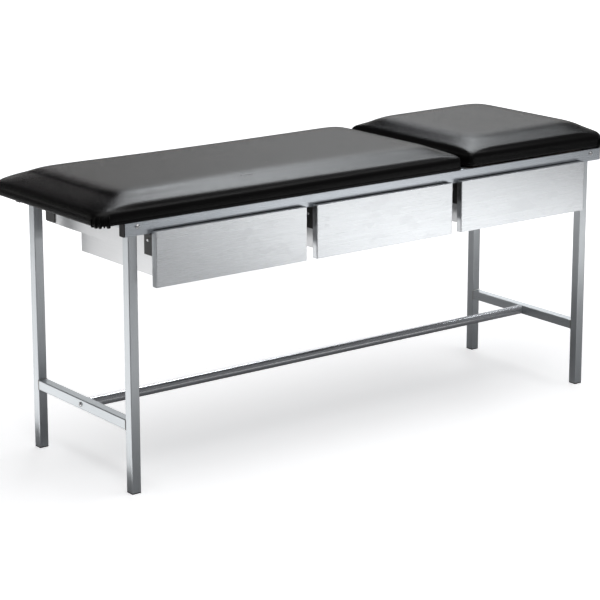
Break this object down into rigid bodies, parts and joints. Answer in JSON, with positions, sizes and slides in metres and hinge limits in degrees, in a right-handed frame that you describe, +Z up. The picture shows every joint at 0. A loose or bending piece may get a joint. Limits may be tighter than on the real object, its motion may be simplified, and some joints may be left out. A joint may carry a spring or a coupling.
{
  "type": "medical exam table",
  "caption": "Stainless examination table with padded body section, tilting padded head section on a ratchet prop, and hanging drawers on telescopic slides.",
  "frame": {"origin": "on the floor, under the centre of the whole table's box", "axes": "+X towards the head end, -Y towards the drawer side, +Z up"},
  "size_m": [1.935, 0.616, 0.874],
  "materials": {
    "frame_steel": "satin",
    "stretcher_steel": "satin",
    "front_steel": "satin",
    "tray_steel": "satin",
    "zinc_steel": "satin",
    "fastener_steel": "satin",
    "bracket_paint": "satin",
    "black_plastic": "matte",
    "black_rubber": "matte",
    "plywood": "matte",
    "upholstery": "satin"
  },
  "bodies": {
    "frame": {"leg_front_foot": "frame_steel", "leg_front_head": "frame_steel", "leg_back_foot": "frame_steel", "leg_back_head": "frame_steel", "foot_plug_front_foot": "black_plastic", "foot_plug_front_head": "black_plastic", "foot_plug_back_foot": "black_plastic", "foot_plug_back_head": "black_plastic", "front_rail": "frame_steel", "back_rail": "frame_steel", "rail_caps": "black_plastic", "foot_end_crossbar": "frame_steel", "head_end_crossbar": "frame_steel", "foot_end_stretcher": "frame_steel", "head_end_stretcher": "frame_steel", "long_stretcher": "stretcher_steel", "stretcher_inserts": "zinc_steel", "middle_cross_member": "frame_steel", "hinge_cross_member": "frame_steel", "frame_bolts": "fastener_steel", "rail_nuts": "zinc_steel", "runner_plate_left_1": "tray_steel", "runner_plate_left_2": "tray_steel", "runner_plate_left_3": "tray_steel", "runner_plate_right_1": "tray_steel", "runner_plate_right_2": "tray_steel", "runner_plate_right_3": "tray_steel", "hanger_brackets": "bracket_paint", "hanger_rivets": "fastener_steel", "slide_outer_1": "zinc_steel", "slide_outer_2": "zinc_steel", "slide_outer_3": "zinc_steel", "body_board": "plywood", "body_cushion": "upholstery", "hinge_brackets": "zinc_steel", "hinge_pins": "fastener_steel", "rack_front": "zinc_steel", "rack_back": "zinc_steel", "head_bumpers": "black_rubber"},
    "head_section": {"head_board": "plywood", "head_cushion": "upholstery", "hinge_leaves": "zinc_steel", "prop_brackets": "zinc_steel", "prop_pins": "fastener_steel"},
    "prop": {"prop": "zinc_steel"},
    "drawer_1": {"drawer_front_1": "front_steel", "drawer_tray_1": "tray_steel", "drawer_screws_1": "fastener_steel", "slide_inner_1": "zinc_steel"},
    "slides_1": {"slide_middle_1": "zinc_steel"},
    "drawer_2": {"drawer_front_2": "front_steel", "drawer_tray_2": "tray_steel", "drawer_screws_2": "fastener_steel", "slide_inner_2": "zinc_steel"},
    "slides_2": {"slide_middle_2": "zinc_steel"},
    "drawer_3": {"drawer_front_3": "front_steel", "drawer_tray_3": "tray_steel", "drawer_screws_3": "fastener_steel", "slide_inner_3": "zinc_steel"},
    "slides_3": {"slide_middle_3": "zinc_steel"}
  },
  "joints": [
    {"name": "head_tilt", "type": "hinge", "parent": "frame", "child": "head_section", "pos_m": [0.3655, 0.008, 0.801], "axis": [0, -1, 0], "range_deg": [0, 50]},
    {"name": "prop_swing", "type": "hinge", "parent": "head_section", "child": "prop", "pos_m": [0.5905, 0.008, 0.788], "axis": [0, -1, 0], "range_deg": [-99.5, 0.5]},
    {"name": "drawer_1_slide", "type": "slide", "parent": "frame", "child": "drawer_1", "axis": [0, -1, 0], "range_m": [0, 0.38]},
    {"name": "slides_1_run", "type": "slide", "parent": "frame", "child": "slides_1", "axis": [0, -1, 0], "range_m": [0, 0.191]},
    {"name": "drawer_2_slide", "type": "slide", "parent": "frame", "child": "drawer_2", "axis": [0, -1, 0], "range_m": [0, 0.38]},
    {"name": "slides_2_run", "type": "slide", "parent": "frame", "child": "slides_2", "axis": [0, -1, 0], "range_m": [0, 0.191]},
    {"name": "drawer_3_slide", "type": "slide", "parent": "frame", "child": "drawer_3", "axis": [0, -1, 0], "range_m": [0, 0.38]},
    {"name": "slides_3_run", "type": "slide", "parent": "frame", "child": "slides_3", "axis": [0, -1, 0], "range_m": [0, 0.191]}
  ],
  "couplings": [
    {"joint": "prop_swing", "follows": "head_tilt", "ratio": -1.9825},
    {"joint": "slides_1_run", "follows": "drawer_1_slide", "ratio": 0.5},
    {"joint": "slides_2_run", "follows": "drawer_2_slide", "ratio": 0.5},
    {"joint": "slides_3_run", "follows": "drawer_3_slide", "ratio": 0.5}
  ]
}
